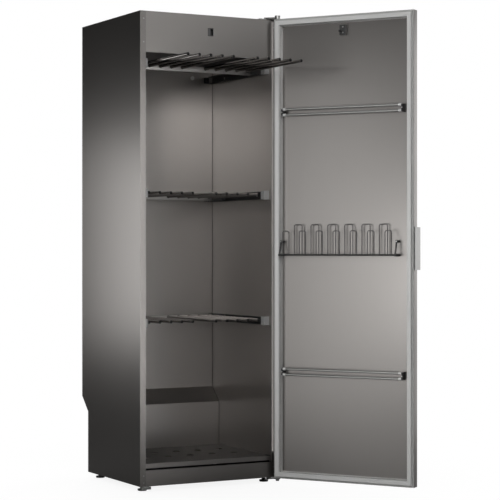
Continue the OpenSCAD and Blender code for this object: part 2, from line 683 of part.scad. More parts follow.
// ---------- racks ----------
// what follows is drawn with the tube tips at the front plane and moved to where the rack stands
module rack_at(i) from_corner()
    translate([0, rack_parked - rack_pull[i], rack_z[i]]) children();
module rack_tubes(i) color("#3f3f3f") rack_at(i) for (side = [-1, 1]) for (n = [0 : tubes_a_side - 1])
    translate([mid_u + side * (tube_first + n * tube_pitch), 2, 0]) difference() {
        rod_y(tube_d / 2, rack_len - bar_t - 2);
        translate([0, -1, 0]) rod_y(tube_d / 2 - 1, rack_len - bar_t - 2);
    }
module rack_plugs(i) color("#161616") rack_at(i) for (side = [-1, 1]) for (n = [0 : tubes_a_side - 1])
    translate([mid_u + side * (tube_first + n * tube_pitch), 0, 0]) {
        translate([0, 2, 0]) rod_y(tube_d / 2 - 1, 14);
        rotate([-90, 0, 0]) cylinder(r1 = tube_d / 2 - 1.5, r2 = tube_d / 2, h = 2);
    }
module rack_crossbar(i) color("#7a7876") rack_at(i) {
    slab([inner_l + rail_d + seat, rack_len - bar_t, -bar_below],
         [inner_r - rail_d - seat, rack_len, bar_above]);
    // shoes that slide in the rails
    both_sides() slab(
        [inner_l + rail_t + rail_screw_h + run, rack_len - shoe_len, -rail_below + rail_t + run],
        [inner_l + rail_d, rack_len, rail_above - rail_t - run]);
}
module upper_rack_tubes() rack_tubes(2);
module upper_rack_plugs() rack_plugs(2);
module upper_rack_crossbar() rack_crossbar(2);
module middle_rack_tubes() { rack_tubes(1); rack_plugs(1); }
module middle_rack_crossbar() rack_crossbar(1);
module lower_rack_tubes() { rack_tubes(0); rack_plugs(0); }
module lower_rack_crossbar() rack_crossbar(0);

left_side_panel();
right_side_panel();
roof_panel();
back_panel();
base_panel();
left_liner();
right_liner();
back_liner();
wall_insulation();
ceiling_grille();
shoe_floor();
fascia();
plinth();
latch_strike();
sensor_cap();
rack_rails();
rail_caps();
rail_buffers();
feet();
foot_bosses();
top_hinge_bracket();
lower_hinge_brackets();
hinge_pins();
carcass_screws();
exhaust_spigot();
exhaust_duct();
wall_bracket();
cable_gland();
fan_housing();
fan_motor();
heater_duct();
heater_element();
thermostat();
control_box();
circuit_board();
terminal_block();
fan_wheel();
door_outer_panel();
door_inner_panel();
door_insulation();
door_gasket();
hinge_bushes();
latch_block();
towel_bars();
towel_brackets();
glove_frame();
glove_hoops();
door_handle();
fitting_screws();
control_panel();
program_knob();
start_button();
light_button();
upper_rack_tubes();
upper_rack_plugs();
upper_rack_crossbar();
middle_rack_tubes();
middle_rack_crossbar();
lower_rack_tubes();
lower_rack_crossbar();
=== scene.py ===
# A free-standing drying cabinet with its door open and its upper rack pulled out.
# Metres, +Z up, front towards -Y; the origin is the centre of the carcass's underside.
import json
import math
import bpy
from mathutils import Matrix, Vector

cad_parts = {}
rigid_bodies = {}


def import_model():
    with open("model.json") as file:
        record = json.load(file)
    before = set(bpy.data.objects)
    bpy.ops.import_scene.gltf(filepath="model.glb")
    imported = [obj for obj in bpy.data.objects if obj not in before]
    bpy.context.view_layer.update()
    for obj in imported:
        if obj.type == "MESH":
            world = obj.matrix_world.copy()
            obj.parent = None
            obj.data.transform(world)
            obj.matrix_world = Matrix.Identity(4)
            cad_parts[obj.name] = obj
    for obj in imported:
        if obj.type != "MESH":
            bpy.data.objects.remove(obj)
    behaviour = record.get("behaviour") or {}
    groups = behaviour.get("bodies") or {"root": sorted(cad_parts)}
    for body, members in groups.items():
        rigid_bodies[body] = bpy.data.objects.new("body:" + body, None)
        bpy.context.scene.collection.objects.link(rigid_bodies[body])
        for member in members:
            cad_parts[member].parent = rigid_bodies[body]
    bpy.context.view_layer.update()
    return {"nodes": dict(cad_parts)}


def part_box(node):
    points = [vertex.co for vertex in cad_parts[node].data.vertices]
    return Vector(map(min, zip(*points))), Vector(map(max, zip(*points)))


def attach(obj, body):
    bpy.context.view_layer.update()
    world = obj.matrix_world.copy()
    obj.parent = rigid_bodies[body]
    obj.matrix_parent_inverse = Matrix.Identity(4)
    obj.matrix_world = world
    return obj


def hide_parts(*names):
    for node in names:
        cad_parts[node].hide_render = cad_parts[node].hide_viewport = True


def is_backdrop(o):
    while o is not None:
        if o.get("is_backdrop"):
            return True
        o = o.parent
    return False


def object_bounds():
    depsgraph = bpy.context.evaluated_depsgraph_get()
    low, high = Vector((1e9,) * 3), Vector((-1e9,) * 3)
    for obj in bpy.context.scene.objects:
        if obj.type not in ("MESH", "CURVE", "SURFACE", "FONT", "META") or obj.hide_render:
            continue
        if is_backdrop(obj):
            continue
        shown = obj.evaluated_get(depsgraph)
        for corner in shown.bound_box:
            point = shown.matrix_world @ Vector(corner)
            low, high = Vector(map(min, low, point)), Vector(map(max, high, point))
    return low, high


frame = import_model()
nodes = frame["nodes"]

# ---------- camera ----------
# A long lens at chest height, six metres away and to the left of the open door.
camera_data = bpy.data.cameras.new("camera")
camera_data.lens = 120.4
camera_data.shift_y = -0.0022
camera = bpy.data.objects.new("camera", camera_data)
camera.location = (-2.9669, -6.0318, 0.9016)
camera.rotation_euler = (math.pi / 2, 0, -math.radians(28.655))
bpy.context.scene.collection.objects.link(camera)
bpy.context.scene.camera = camera
bpy.context.scene.view_settings.view_transform = "Standard"


# ---------- studio ----------
# A pale floor, a white surround that only the camera sees, and large soft lamps: the left and
# front ones make the gradients on the steel, the rest light the sides turned away from them.
def lamp(name, place, aim, width, height, spread, watts):
    """A soft rectangular lamp at a place, turned towards aim."""
    data = bpy.data.lights.new(name, "AREA")
    data.shape = "RECTANGLE"
    data.size = width
    data.size_y = height
    data.spread = math.radians(spread)
    data.energy = watts
    light = bpy.data.objects.new(name, data)
    light.location = place
    light.rotation_euler = (Vector(aim) - Vector(place)).to_track_quat("-Z", "Y").to_euler()
    bpy.context.scene.collection.objects.link(light)


lamp("side_softbox", (-1.2, 1.05, 0.94), (-0.2975, -0.1, 0.94), 0.5, 0.95, 180, 6.6)
lamp("door_softbox", (-1.5, -1.65, 0.76), (0.62, -0.85, 0.76), 0.75, 0.55, 70, 1.3)
lamp("door_fill", (-1.95, -0.85, 0.95), (0.4, -0.5, 0.95), 0.8, 1.8, 180, 7.5)
lamp("flange_softbox", (0.14, -1.95, 0.9), (-0.29, -0.28, 0.9), 0.25, 1.4, 34, 0.75)
lamp("gap_light", (0.2856, -0.2925, 0.95), (0.2856, -0.28, 0.95), 0.007, 1.7, 180, 0.12)
lamp("fascia_softbox", (0.85, -2.4, 2.4), (0.0, -0.28, 1.75), 1.3, 0.5, 60, 0.7)
lamp("camera_side_softbox", (-1.35, -3.1, 1.85), (0.1, 0.2, 1.5), 1.3, 0.5, 40, 0.3)
lamp("right_softbox", (2.3, -0.45, 1.0), (0.6, -0.79, 1.0), 0.8, 2.0, 120, 3.2)
lamp("high_softbox", (-1.3, -2.8, 2.8), (0.3, -0.3, 0.8), 1.6, 1.2, 120, 17)
lamp("top_softbox", (-0.2, -0.4, 3.6), (0.0, 0.0, 0.8), 2.2, 2.2, 180, 8)
lamp("back_softbox", (0.7, 3.2, 1.6), (0.1, 0.3, 0.9), 2.2, 1.8, 180, 30)
lamp("right_back_softbox", (3.3, 0.9, 1.5), (0.4, 0.0, 0.9), 1.6, 1.8, 180, 30)


def background_pick(tree):
    """A mix shader whose second input is what the camera sees, straight or through clear material."""
    ray = tree.nodes.new("ShaderNodeLightPath")
    either = tree.nodes.new("ShaderNodeMath")
    either.operation = "MAXIMUM"
    pick = tree.nodes.new("ShaderNodeMixShader")
    tree.links.new(ray.outputs["Is Camera Ray"], either.inputs[0])
    tree.links.new(ray.outputs["Is Transmission Ray"], either.inputs[1])
    tree.links.new(either.outputs[0], pick.inputs[0])
    return pick


world = bpy.data.worlds.new("surround")
world.use_nodes = True
bpy.context.scene.world = world
tree = world.node_tree
back = tree.nodes["Background"]
seen = tree.nodes.new("ShaderNodeBackground")
seen.inputs["Color"].default_value = (1, 1, 1, 1)
seen.inputs["Strength"].default_value = 1.0
back.inputs["Color"].default_value = (0.03, 0.0295, 0.029, 1)
back.inputs["Strength"].default_value = 1.0
pick = background_pick(tree)
tree.links.new(back.outputs[0], pick.inputs[1])
tree.links.new(seen.outputs[0], pick.inputs[2])
tree.links.new(pick.outputs[0], tree.nodes["World Output"].inputs["Surface"])

bpy.ops.object.select_all(action="DESELECT")
bpy.ops.mesh.primitive_plane_add(size=14, location=(0, 0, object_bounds()[0].z - 0.0002))
floor = bpy.context.object
floor.name = "studio_floor"
bpy.ops.object.transform_apply(location=True, rotation=True, scale=True)
paint = bpy.data.materials.new("pale_floor")
paint.use_nodes = True
tree = paint.node_tree
matt = tree.nodes["Principled BSDF"]
matt.inputs["Base Color"].default_value = (0.2, 0.2, 0.2, 1)
matt.inputs["Roughness"].default_value = 0.9
shaded = tree.nodes.new("ShaderNodeAddShader")
white = tree.nodes.new("ShaderNodeEmission")
white.inputs["Strength"].default_value = 1.0
glow = tree.nodes.new("ShaderNodeEmission")
glow.inputs["Strength"].default_value = 0.84
tree.links.new(glow.outputs[0], shaded.inputs[1])
tree.links.new(matt.outputs[0], shaded.inputs[0])
grid = tree.nodes.new("ShaderNodeMapping")
grid.inputs["Scale"].default_value = (0.6, 0.6, 0.6)
near = tree.nodes.new("ShaderNodeTexGradient")
near.gradient_type = "QUADRATIC_SPHERE"
tree.links.new(tree.nodes.new("ShaderNodeTexCoord").outputs["Object"], grid.inputs["Vector"])
tree.links.new(grid.outputs[0], near.inputs["Vector"])
seen = tree.nodes.new("ShaderNodeMixShader")
tree.links.new(near.outputs["Fac"], seen.inputs[0])
tree.links.new(white.outputs[0], seen.inputs[1])
tree.links.new(shaded.outputs[0], seen.inputs[2])
# Seen by rays other than the camera's, the floor is painted lighter in front of the cabinet than behind it:
# a painted pool of light for the plinth and the door's foot to mirror.
bounce = tree.nodes.new("ShaderNodeBsdfDiffuse")
places = tree.nodes.new("ShaderNodeSeparateXYZ")
tree.links.new(tree.nodes.new("ShaderNodeTexCoord").outputs["Object"], places.inputs[0])
paler = tree.nodes.new("ShaderNodeMapRange")
for socket, value in (("From Min", -0.3), ("From Max", -0.7), ("To Min", 0.2), ("To Max", 0.8)):
    paler.inputs[socket].default_value = value
tree.links.new(places.outputs["Y"], paler.inputs["Value"])
tree.links.new(paler.outputs[0], bounce.inputs["Color"])
pick = background_pick(tree)
tree.links.new(bounce.outputs[0], pick.inputs[1])
tree.links.new(seen.outputs[0], pick.inputs[2])
tree.links.new(pick.outputs[0], tree.nodes["Material Output"].inputs["Surface"])
floor.data.materials.append(paint)
floor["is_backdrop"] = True


# ---------- side panels ----------
# Brushed steel sheet, folded round the front edge into a flange beside the opening. Every folded
# or cut edge is eased a little, as sheet metal is after bending and deburring.
class Signal:
    """One output in a finish's shader. Arithmetic on it adds the Math node."""

    def __init__(self, finish, socket):
        self.finish = finish
        self.socket = socket

    def maths(self, operation, a, b):
        return self.finish.node("ShaderNodeMath", {"operation": operation}, {0: a, 1: b})

    def __add__(self, other):
        return self.maths("ADD", self, other)

    def __mul__(self, other):
        return self.maths("MULTIPLY", self, other)

    __radd__ = __add__
    __rmul__ = __mul__


class Finish:
    """A material: fixed values on its shader's own sockets, and nodes for what varies."""

    def __init__(self, name, **fixed):
        self.material = bpy.data.materials.new(name)
        self.material.use_nodes = True
        self.tree = self.material.node_tree
        self.shader = self.tree.nodes["Principled BSDF"]
        for socket, value in fixed.items():
            self.put(self.shader.inputs[socket.replace("_", " ")], value)
        self.place = self.node("ShaderNodeTexCoord", out="Object")

    def put(self, target, value):
        if isinstance(value, Signal):
            self.tree.links.new(value.socket, target)
        else:
            target.default_value = value

    def node(self, kind, settings={}, sockets={}, out=0):
        made = self.tree.nodes.new(kind)
        for key, value in settings.items():
            setattr(made, key, value)
        for key, value in sockets.items():
            self.put(made.inputs[key], value)
        return Signal(self, made.outputs[out])

    def noise(self, stretch, detail=2.0, rough=0.5):
        """Noise from 0 to 1 with that many grains a metre along X, Y and Z."""
        grid = self.node("ShaderNodeMapping", {}, {"Vector": self.place, "Scale": stretch})
        return self.node("ShaderNodeTexNoise", {}, {"Vector": grid, "Scale": 1.0,
                         "Detail": detail, "Roughness": rough})

    def varies(self, colour, share, amount):
        """The colour, darker and lighter by that share as amount goes from 0 to 1."""
        dark = [c * (1 - share) for c in colour] + [1]
        light = [c * (1 + share) for c in colour] + [1]
        both = self.node("ShaderNodeMix", {"data_type": "RGBA"}, {0: amount, 6: dark, 7: light},
                         out=2)
        self.put(self.shader.inputs["Base Color"], both)

    def roughness(self, value):
        self.put(self.shader.inputs["Roughness"], value)

    def relief(self, height, depth, strength=1.0):
        """Bumps of that depth in metres where height goes from 0 to 1."""
        bump = self.node("ShaderNodeBump", {}, {"Height": height, "Distance": depth,
                         "Strength": strength})
        self.put(self.shader.inputs["Normal"], bump)


def brushed(name, colour, rough, share=0.06, depth=0.00002, along=(700, 700, 9)):
    """Steel with fine upright brushing, slow clouds in its sheen and faint handling marks."""
    steel = Finish(name, Metallic=1.0)
    lines = steel.noise(along, 3, 0.6)
    clouds = steel.noise((2.2, 2.2, 1.3), 3, 0.5)
    marks = steel.noise((14, 14, 11), 5, 0.6)
    steel.varies(colour, share, clouds * 0.5 + lines * 0.5)
    steel.roughness(rough - 0.05 + lines * 0.05 + clouds * 0.03 + marks * 0.02)
    steel.relief(lines, depth, 0.25)
    return steel.material


def only(piece):
    """Object mode with this piece alone selected and active."""
    if bpy.context.object and bpy.context.object.mode != "OBJECT":
        bpy.ops.object.mode_set(mode="OBJECT")
    bpy.ops.object.select_all(action="DESELECT")
    piece.select_set(True)
    bpy.context.view_layer.objects.active = piece


def ease(piece, width, segments=2, above=30):
    """Rounds every edge that is sharper than that angle, and smooths the shading."""
    only(piece)
    bevel = piece.modifiers.new("ease", "BEVEL")
    bevel.width = width
    bevel.segments = segments
    bevel.limit_method = "ANGLE"
    bevel.angle_limit = math.radians(above)
    bevel.use_clamp_overlap = True
    bpy.ops.object.modifier_apply(modifier="ease")
    bpy.ops.object.shade_smooth_by_angle(angle=math.radians(38))
    flat = piece.modifiers.new("flat", "WEIGHTED_NORMAL")
    flat.keep_sharp = True
    bpy.ops.object.modifier_apply(modifier="flat")
    return piece


def eased_copy(node, name, width, segments=2):
    """A copy of a frame piece, its triangles merged into whole faces and its edges eased."""
    piece = bpy.data.objects.new(name, nodes[node].data.copy())
    bpy.context.scene.collection.objects.link(piece)
    piece.data.materials.clear()
    only(piece)
    bpy.ops.object.mode_set(mode="EDIT")
    bpy.ops.mesh.select_all(action="SELECT")
    bpy.ops.mesh.remove_doubles(threshold=0.000005)
    bpy.ops.mesh.dissolve_limited(angle_limit=math.radians(0.5))
    bpy.ops.object.mode_set(mode="OBJECT")
    return ease(piece, width, segments)


def paint_node(node, material):
    """Gives a frame piece that is kept as it is its material."""
    nodes[node].data.materials.clear()
    nodes[node].data.materials.append(material)


def install(piece, body, slot, material, *stands_for):
    """Gives the piece its material and fixes it to a body, in place of those frame pieces."""
    piece.data.materials.clear()
    piece.data.materials.append(material)
    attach(piece, body)
    if stands_for:
        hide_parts(*stands_for)
    return piece


shell_steel = brushed("brushed_dark_steel", (0.2, 0.19, 0.182), 0.39)
for side in ("left", "right"):
    node = side + "_side_panel"
    install(eased_copy(node, side + "_side_sheet", 0.0005), "carcass", "shell", shell_steel, node)

# ---------- roof, back and base ----------
# Plainer sheets of the same carcass: the roof closes the top, the back is folded along the step
# and the base carries the feet.
rear_steel = brushed("satin_grey_sheet", (0.3, 0.3, 0.3), 0.45, along=(160, 160, 30))
install(eased_copy("roof_panel", "roof_sheet", 0.0004), "carcass", "shell", shell_steel, "roof_panel")
for node, name in (("back_panel", "back_sheet"), ("base_panel", "base_sheet"),
                   ("wall_bracket", "tilt_guard")):
    install(eased_copy(node, name, 0.0004), "carcass", "rear_sheet", rear_steel, node)

# ---------- fascia and plinth ----------
# The folded covers above and below the opening, brushed like the sides.
front_steel = brushed("brushed_front_steel", (0.25, 0.238, 0.228), 0.38)
install(eased_copy("fascia", "fascia_cover", 0.0004), "carcass", "shell", front_steel, "fascia")
install(eased_copy("plinth", "plinth_cover", 0.0004), "carcass", "shell", front_steel, "plinth")

# ---------- chamber ----------
# Smooth steel liners on three sides, the grille above them and the shoe floor, whose holes let
# water through and whose front edge is folded down. The side sheets' return faces share the
# liners' finish. The shoe floor's top, the holes' walls and the base under the holes are painted near black
# as painted shade.
liner_steel = brushed("smooth_liner_steel", (0.56, 0.535, 0.515), 0.3, share=0.03, depth=0.000005)
for node in ("left_liner", "right_liner", "back_liner"):
    paint_node(node, liner_steel)
return_face = 0.2735
for side in (-1, 1):
    sheet = bpy.data.objects["left_side_sheet" if side < 0 else "right_side_sheet"]
    sheet.data.materials.append(liner_steel)
    for face in sheet.data.polygons:
        if abs(face.center.x - side * return_face) < 0.001 and face.normal.x * side < -0.5:
            face.material_index = 1
# The ceiling grille is near black, far darker than the liners: painted shade at the top of the chamber.
ceiling_shade_steel = brushed("dark_ceiling_steel", (0.035, 0.034, 0.033), 0.45, along=(12, 500, 500))
install(eased_copy("ceiling_grille", "ceiling_sheet", 0.0003), "carcass", "inner_steel", ceiling_shade_steel,
        "ceiling_grille")


def moulded(name, colour, rough, grain=900, depth=0.00004, **fixed):
    """Moulded plastic or rubber: a fine tooled grain, with slow changes in colour and sheen."""
    plastic = Finish(name, **fixed)
    pits = plastic.noise((grain, grain, grain), 2, 0.6)
    clouds = plastic.noise((9, 9, 9), 3, 0.5)
    plastic.varies(colour, 0.07, clouds * 0.7 + pits * 0.3)
    plastic.roughness(rough - 0.05 + clouds * 0.06 + pits * 0.04)
    plastic.relief(pits, depth, 0.35)
    return plastic.material


# Painted shade: the shoe floor's top is made near black, and the base's upper faces black, so the holes read
# dark.
tray_shade_steel = brushed("shoe_floor_steel", (0.055, 0.053, 0.051), 0.46, along=(12, 300, 300))
hole_shade_coat = moulded("black_base_coat", (0.006, 0.006, 0.006), 0.8, grain=400, depth=0.00002)
base_sheet = bpy.data.objects["base_sheet"]
base_sheet.data.materials.append(hole_shade_coat)
for face in base_sheet.data.polygons:
    face.material_index = 1 if face.normal.z > 0.5 else 0
tray = install(eased_copy("shoe_floor", "shoe_tray", 0.0004), "carcass", "inner_steel", tray_shade_steel,
               "shoe_floor")
tray.data.materials.append(front_steel)
tray.data.materials.append(hole_shade_coat)
lip_depth, hole_depth, holes_side, tray_height = -0.27, -0.265, 0.24, 0.08
# The folded lip keeps the lighter front steel. The top stays near black as painted shade, and the holes'
# walls take the black painted shade.
for face in tray.data.polygons:
    centre, normal = face.center, face.normal
    lip = normal.y < -0.5 and centre.y < lip_depth
    in_hole = (abs(normal.z) < 0.5 and centre.z > tray_height and abs(centre.x) < holes_side
               and centre.y > hole_depth)
    face.material_index = 1 if lip else 2 if in_hole else 0


# ---------- sensor cap ----------
# A white button on the back wall over the air sensor, with a rivet at each side of it.
def turned(name, profile, start=(0, 0, 0), axis=(0, 0, 1), sides=48):
    """A piece turned on a lathe: (distance along the axis, radius) from its first face on. A profile
    that comes back to its first point makes a ring."""
    ring = profile[0] == profile[-1]
    bpy.ops.object.select_all(action="DESELECT")
    bpy.ops.mesh.primitive_circle_add(vertices=sides, radius=profile[0][1], location=(0, 0, 0),
                                      fill_type="NOTHING" if ring else "NGON")
    piece = bpy.context.object
    piece.name = name
    bpy.ops.object.mode_set(mode="EDIT")
    bpy.ops.mesh.select_mode(type="VERT")
    bpy.ops.mesh.select_all(action="SELECT")
    bpy.ops.transform.translate(value=(0, 0, profile[0][0]))
    for (height, r), (to, wide) in zip(profile, profile[1:]):
        bpy.ops.mesh.extrude_region_move(TRANSFORM_OT_translate={"value": (0, 0, to - height)})
        share = wide / r
        bpy.ops.transform.resize(value=(share, share, 1), center_override=(0, 0, to))
    bpy.ops.mesh.select_all(action="SELECT")
    bpy.ops.mesh.remove_doubles(threshold=0.000005)
    bpy.ops.mesh.normals_make_consistent(inside=False)
    bpy.ops.object.mode_set(mode="OBJECT")
    turn = Vector((0, 0, 1)).rotation_difference(Vector(axis)).to_matrix().to_4x4()
    piece.data.transform(Matrix.Translation(start) @ turn)
    bpy.ops.object.shade_smooth_by_angle(angle=math.radians(38))
    return piece


def at(u, v, z):
    """A place in millimetres from the carcass's front lower left corner."""
    return Vector((u / 1000 - 0.2975, v / 1000 - 0.28, z / 1000))


def join(first, *others):
    """Those pieces as one, under the first one's name."""
    only(first)
    for other in others:
        other.select_set(True)
    bpy.ops.object.join()
    return first


def repeat(piece, moves, name):
    """The piece once at each of those offsets, as one mesh."""
    copies = []
    for move in moves:
        copy = bpy.data.objects.new(piece.name + "_copy", piece.data.copy())
        copy.data.transform(Matrix.Translation(move))
        bpy.context.scene.collection.objects.link(copy)
        copies.append(copy)
    joined = join(*copies)
    bpy.data.objects.remove(piece)
    joined.name = name
    return joined


white_plastic = moulded("white_cap_plastic", (0.86, 0.86, 0.84), 0.4)
low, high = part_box("sensor_cap")
middle = (low + high) / 2
cap = turned("air_sensor_cap", [(0, 0.0085), (0.0022, 0.0085), (0.0032, 0.0079), (0.0037, 0.0066),
             (0.004, 0.004), (0.00405, 0.0012)], (middle.x, high.y, middle.z), (0, -1, 0))
install(cap, "carcass", "light_plastic", white_plastic, "sensor_cap")
rivet = turned("liner_rivet", [(0, 0.002), (0.0008, 0.002), (0.0013, 0.0012)], (0, 0, 0), (0, -1, 0), 20)
rivets = repeat(rivet, [(middle.x + side * 0.027, high.y, middle.z) for side in (-1, 1)], "liner_rivets")
zinc = brushed("zinc_plated_steel", (0.55, 0.55, 0.54), 0.4, along=(90, 90, 90))
install(rivets, "carcass", "zinc_steel", zinc)

# ---------- latch strike ----------
# A black moulded insert in the fascia; its left half is a screwed-on steel keeper, its right half
# the slot that takes the door's tongue.
black_plastic = moulded("black_plastic", (0.022, 0.022, 0.023), 0.42)
install(eased_copy("latch_strike", "strike_insert", 0.0005), "carcass", "dark_plastic", black_plastic,
        "latch_strike")


def block(name, low, high):
    """A block between two corners, with its place in its mesh."""
    bpy.ops.object.select_all(action="DESELECT")
    low, high = Vector(low), Vector(high)
    bpy.ops.mesh.primitive_cube_add(size=1, location=(low + high) / 2)
    piece = bpy.context.object
    piece.name = name
    piece.scale = [abs(size) for size in high - low]
    bpy.ops.object.transform_apply(location=True, rotation=True, scale=True)
    return piece


low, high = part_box("latch_strike")
keeper = block("strike_keeper", (low.x + 0.0015, low.y - 0.0006, low.z + 0.0015),
               (low.x + 0.0105, low.y + 0.0004, high.z - 0.0015))
keeper_plastic = moulded("grey_keeper_plastic", (0.09, 0.09, 0.09), 0.4)
install(ease(keeper, 0.0003), "carcass", "dark_plastic", keeper_plastic)

# ---------- rack rails ----------
# Black painted channels along both walls, a pale moulded cap on each front end and a soft buffer
# at each back end.
black_paint = moulded("black_satin_paint", (0.012, 0.012, 0.012), 0.5, grain=1600, depth=0.00001)
install(eased_copy("rack_rails", "rail_channels", 0.0004), "carcass", "rail_steel", black_paint,
        "rack_rails")
cap_plastic = moulded("pale_cap_plastic", (0.3, 0.3, 0.296), 0.4)
install(eased_copy("rail_caps", "rail_end_caps", 0.001, 3), "carcass", "light_plastic", cap_plastic,
        "rail_caps")
soft_black = moulded("black_buffer_rubber", (0.018, 0.018, 0.018), 0.7)
install(eased_copy("rail_buffers", "rear_buffers", 0.0012, 3), "carcass", "dark_plastic", soft_black,
        "rail_buffers")


# ---------- feet ----------
# Screw feet: a moulded pad with a rubber sole, a hexagon to turn it by and a threaded stud.
def ringed(start, end, inner, outer, pitch):
    """A thread as a row of rounded rings between two heights."""
    points = []
    turns = int((end - start) / pitch)
    for i in range(turns):
        points += [(start + (i + 0.2) * pitch, inner), (start + (i + 0.5) * pitch, outer)]
    return points + [(end, inner)]


pad = turned("foot_pad", [(0, 0.0165), (0.0006, 0.0172), (0.003, 0.0172), (0.0032, 0.018),
             (0.0062, 0.018), (0.007, 0.0172), (0.008, 0.009), (0.0082, 0.0078)], (0, 0, 0), (0, 0, 1))
nut = turned("foot_nut", [(0.0075, 0.0082), (0.0079, 0.0088), (0.012, 0.0088), (0.0125, 0.008)], sides=6)
stud = turned("foot_stud", [(0.0082, 0.0044)] + ringed(0.0125, 0.046, 0.0043, 0.0049, 0.0015)
              + [(0.048, 0.0038)], sides=24)
places = [at(u, v, -21) for u, v in ((32, 50), (563, 50), (38, 462), (557, 462))]
feet = repeat(join(pad, nut, stud), places, "screw_feet")
foot_plastic = moulded("foot_plastic", (0.13, 0.13, 0.128), 0.45)
install(feet, "carcass", "dark_plastic", foot_plastic, "feet")
paint_node("foot_bosses", zinc)

# ---------- hinges ----------
# Pressed steel brackets: the upper one is bolted to the roof and holds a pin, the lower one comes
# up behind the plinth, and a blank one waits at the other side for hanging the door on the left.
hinge_steel = brushed("hinge_steel", (0.42, 0.42, 0.41), 0.33, along=(60, 60, 60))
install(eased_copy("top_hinge_bracket", "upper_hinge", 0.0008, 3), "carcass", "zinc_steel",
        hinge_steel, "top_hinge_bracket")
install(eased_copy("lower_hinge_brackets", "lower_hinges", 0.0008, 3), "carcass", "zinc_steel",
        hinge_steel, "lower_hinge_brackets")
low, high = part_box("hinge_pins")
axis = at(585, -22, 0)
upper = turned("upper_pin", [(0, 0.003), (0.001, 0.004), (0.029, 0.004), (0.0305, 0.0032),
               (0.031, 0.0018)], (axis.x, axis.y, high.z - 0.031), (0, 0, 1), 32)
lower = turned("lower_pin", [(0, 0.004), (0.021, 0.004), (0.022, 0.003)],
               (axis.x, axis.y, -0.0053), (0, 0, 1), 32)
collar = turned("pin_nut", [(0, 0.006), (0.0006, 0.0069), (0.0062, 0.0069), (0.007, 0.006)],
                (axis.x, axis.y, low.z), (0, 0, 1), 6)
install(join(upper, lower, collar), "carcass", "zinc_steel", zinc, "hinge_pins")


# ---------- carcass screws ----------
# Countersunk cross-head screws in the flanges, pan heads in the rails and three socket heads in
# the upper hinge.
def cross_head(name, radius, proud, sink, sides=24):
    """A domed screw head with a cross recess, its bearing face at z 0."""
    head = turned(name, [(-sink, radius * 0.62), (0, radius), (proud * 0.5, radius * 0.94),
                  (proud, radius * 0.7)], sides=sides)
    for turn in (0, math.pi / 2):
        bpy.ops.object.select_all(action="DESELECT")
        bpy.ops.mesh.primitive_cube_add(size=1, location=(0, 0, proud), rotation=(0, 0, turn))
        slot = bpy.context.object
        slot.scale = (radius * 1.05, radius * 0.26, radius * 0.55)
        bpy.ops.object.transform_apply(location=True, rotation=True, scale=True)
        only(head)
        cut = head.modifiers.new("cut", "BOOLEAN")
        cut.operation = "DIFFERENCE"
        cut.solver = "EXACT"
        cut.object = slot
        bpy.ops.object.modifier_apply(modifier="cut")
        bpy.data.objects.remove(slot)
    return head


def facing(piece, axis):
    """Turns a piece that stands up along +Z to face along axis."""
    turn = Vector((0, 0, 1)).rotation_difference(Vector(axis)).to_matrix().to_4x4()
    piece.data.transform(turn)
    return piece


screw_steel = brushed("screw_steel", (0.3, 0.3, 0.295), 0.35, along=(200, 200, 200))
heights = (14, 41, 1687, 1776)
flange_screws = repeat(facing(cross_head("flange_screw", 0.0032, 0.0002, 0.0014), (0, -1, 0)),
                       [at(u, -0.05, z) for u in (15, 580) for z in heights], "flange_screws")
rail_spots = [(v, z - 3.5) for z in (620, 1118, 1614) for v in (120, 400)]
rail_screws = [repeat(facing(cross_head("rail_screw", 0.004, 0.0013, 0.0002), (inward, 0, 0)),
                      [at(u, v, z) for v, z in rail_spots], name)
               for name, u, inward in (("left_rail_screws", 23.5, 1), ("right_rail_screws", 571.5, -1))]
bolt = turned("hinge_bolt", [(-0.0002, 0.005), (0.002, 0.005), (0.0026, 0.0044), (0.00261, 0.0026),
              (0.0006, 0.0025)], sides=24)
bolts = repeat(bolt, [at(u, v, 1809) for u, v in ((533, 20), (555, 40), (571, 20))], "hinge_bolts")
install(flange_screws, "carcass", "zinc_steel", screw_steel, "carcass_screws")
for screws in (*rail_screws, bolts):
    install(screws, "carcass", "zinc_steel", zinc)

# ---------- roof fittings and cable gland ----------
# The spigot for the exhaust duct, rolled from sheet with a stiffening bead, and the gland that the
# supply comes in through.
low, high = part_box("exhaust_spigot")
centre = (low + high) / 2
spigot = turned("duct_spigot", [(0, 0.0605), (0.038, 0.0605), (0.0395, 0.0602), (0.04, 0.0608),
                (0.0393, 0.0618), (0.033, 0.062), (0.0315, 0.0633), (0.0295, 0.0633), (0.028, 0.062),
                (0.0035, 0.062), (0.0015, 0.064), (0.0015, 0.0755), (0.0009, 0.076), (0, 0.076),
                (0, 0.0605)], (centre.x, centre.y, low.z), (0, 0, 1), 96)
install(spigot, "carcass", "zinc_steel", rear_steel, "exhaust_spigot")
low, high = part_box("cable_gland")
centre = (low + high) / 2
gland = turned("gland_body", [(0, 0.0045), (0, 0.0079), (0.0078, 0.0079), (0.0078, 0.0115),
               (0.0128, 0.0115), (0.0128, 0.0079), (0.014, 0.0079), (0.014, 0.0115),
               (0.0145, 0.012), (0.0185, 0.012), (0.019, 0.0112), (0.02, 0.0085), (0.0255, 0.0066),
               (0.026, 0.0058), (0.026, 0.0045), (0, 0.0045)], (centre.x, low.y, centre.z), (0, 1, 0), 48)
install(gland, "carcass", "dark_plastic", black_plastic, "cable_gland")

